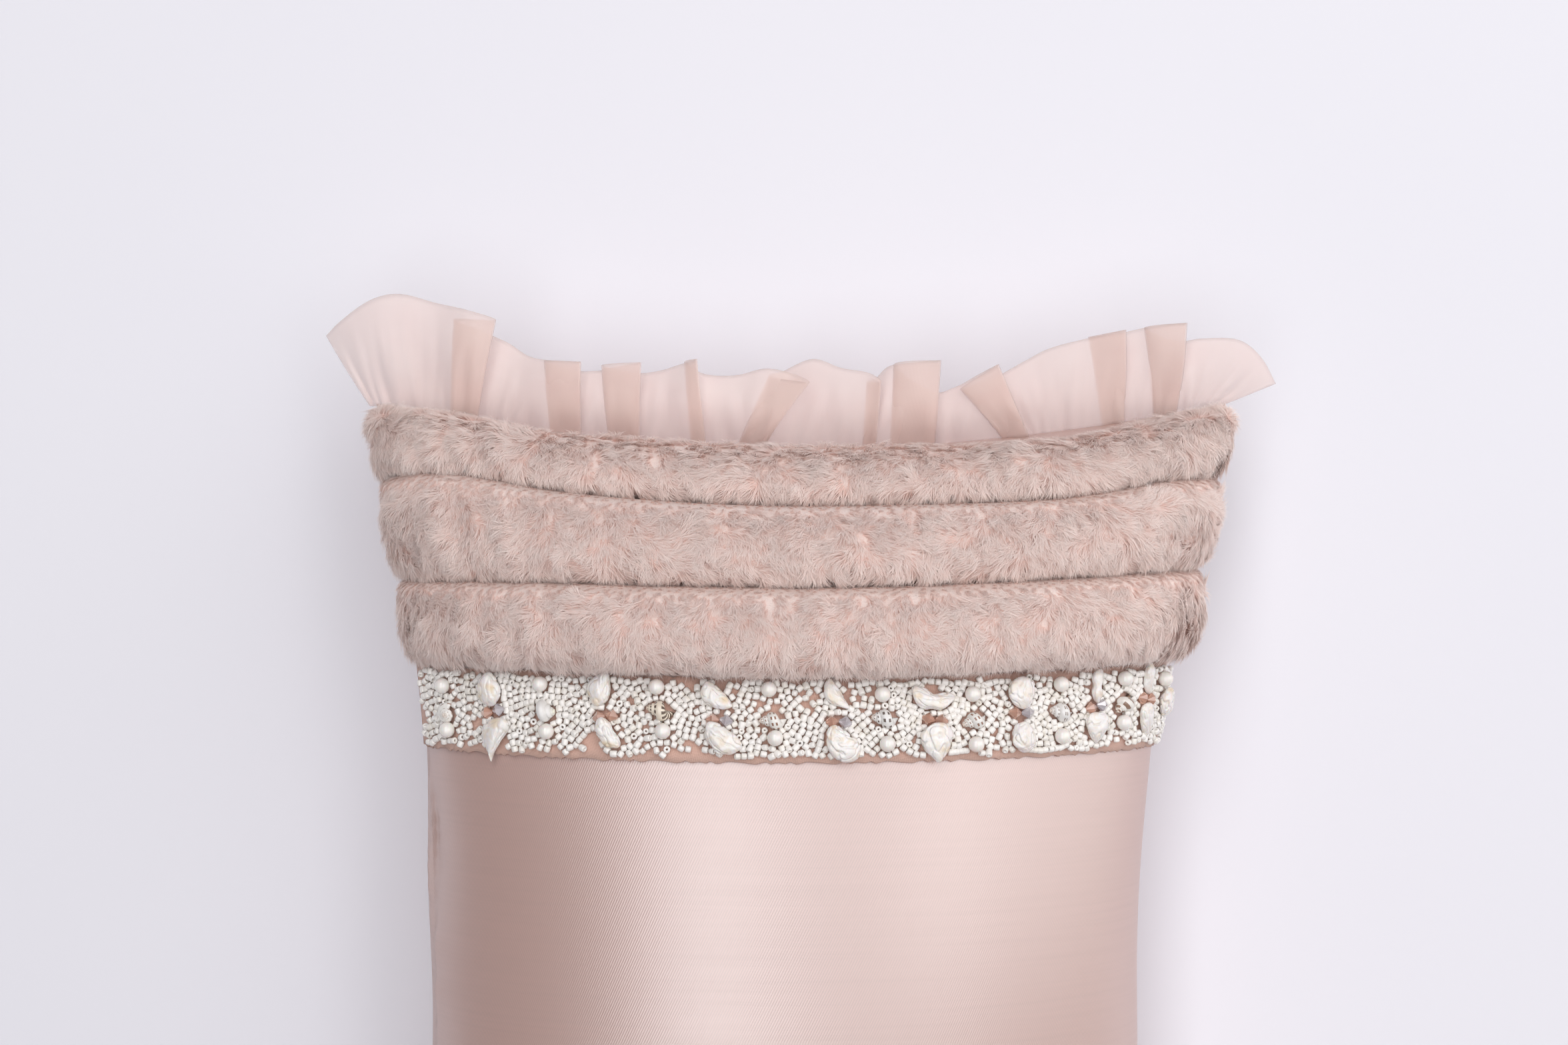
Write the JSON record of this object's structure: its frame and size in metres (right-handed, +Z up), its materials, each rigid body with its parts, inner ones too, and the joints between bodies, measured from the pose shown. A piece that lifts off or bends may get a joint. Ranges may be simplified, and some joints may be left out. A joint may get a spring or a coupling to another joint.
{
  "type": "ring bearer pillow",
  "caption": "Oblong stuffed satin cushion with a gathered organza ruffle, padded faux-fur rolls and a band of beads, pearls and small shells at its head, closed by a concealed zip.",
  "frame": {"origin": "middle of the flat face that the cushion rests on", "axes": "+X across the cushion, +Y along it towards the ruffled head end, +Z up out of the beaded front"},
  "size_m": [0.284, 0.3958, 0.0972],
  "materials": {
    "satin": "silk satin, soft sheen",
    "backing_satin": "plain satin, softer sheen",
    "ticking": "plain cotton",
    "plush_fur": "short tufted faux-fur pile",
    "wadding": "soft fibre",
    "organza": "sheer crisp organza",
    "net_tape": "fine stitched net",
    "seed_beads": "opaque pearl lustre",
    "pearl": "smooth pearl lustre",
    "nacre": "natural baroque nacre",
    "spiral_shell": "polished natural shell",
    "zip_tape": "woven tape",
    "zip_coil": "nylon coil",
    "nickel": "bright nickel plate"
  },
  "bodies": {
    "cushion": {"front_panel": "satin", "back_panel": "backing_satin", "pillow_insert": "ticking", "fur_roll_upper": "plush_fur", "fur_roll_middle": "plush_fur", "fur_roll_lower": "plush_fur", "roll_padding_upper": "wadding", "roll_padding_middle": "wadding", "roll_padding_lower": "wadding", "organza_ruffle": "organza", "bead_tape": "net_tape", "seed_bead_field": "seed_beads", "zip_tape_front": "zip_tape", "zip_tape_back": "zip_tape", "zip_chain": "zip_coil", "zip_top_stop": "nickel", "zip_bottom_stop": "nickel", "pearl_upper_1": "pearl", "pearl_upper_2": "pearl", "pearl_upper_3": "pearl", "pearl_upper_4": "pearl", "pearl_upper_5": "pearl", "pearl_upper_6": "pearl", "pearl_upper_7": "pearl", "pearl_upper_8": "pearl", "pearl_lower_1": "pearl", "pearl_lower_2": "pearl", "pearl_lower_3": "pearl", "pearl_lower_4": "pearl", "pearl_lower_5": "pearl", "pearl_lower_6": "pearl", "pearl_lower_7": "pearl", "pearl_lower_8": "pearl", "nacre_chip_upper_1": "nacre", "nacre_chip_upper_2": "nacre", "nacre_chip_upper_3": "nacre", "nacre_chip_upper_4": "nacre", "nacre_chip_upper_5": "nacre", "nacre_chip_upper_6": "nacre", "nacre_chip_upper_7": "nacre", "nacre_chip_upper_8": "nacre", "nacre_chip_lower_1": "nacre", "nacre_chip_lower_2": "nacre", "nacre_chip_lower_3": "nacre", "nacre_chip_lower_4": "nacre", "nacre_chip_lower_5": "nacre", "nacre_chip_lower_6": "nacre", "nacre_chip_lower_7": "nacre", "nacre_chip_lower_8": "nacre", "spiral_shell_1": "spiral_shell", "spiral_shell_2": "spiral_shell", "spiral_shell_3": "spiral_shell", "spiral_shell_4": "spiral_shell", "spiral_shell_5": "spiral_shell", "spiral_shell_6": "spiral_shell", "spiral_shell_7": "spiral_shell", "spiral_shell_8": "spiral_shell"},
    "zip_slider": {"zip_slider": "nickel"},
    "zip_pull": {"zip_pull": "nickel"}
  },
  "joints": [
    {"name": "zip_slide", "type": "slide", "parent": "cushion", "child": "zip_slider", "axis": [1, 0, 0], "range_m": [-0.157, 0]},
    {"name": "pull_hinge", "type": "hinge", "parent": "zip_slider", "child": "zip_pull", "pos_m": [0.0785, -0.1844, 0.034], "axis": [0, 0, 1], "range_deg": [0, 180]}
  ]
}
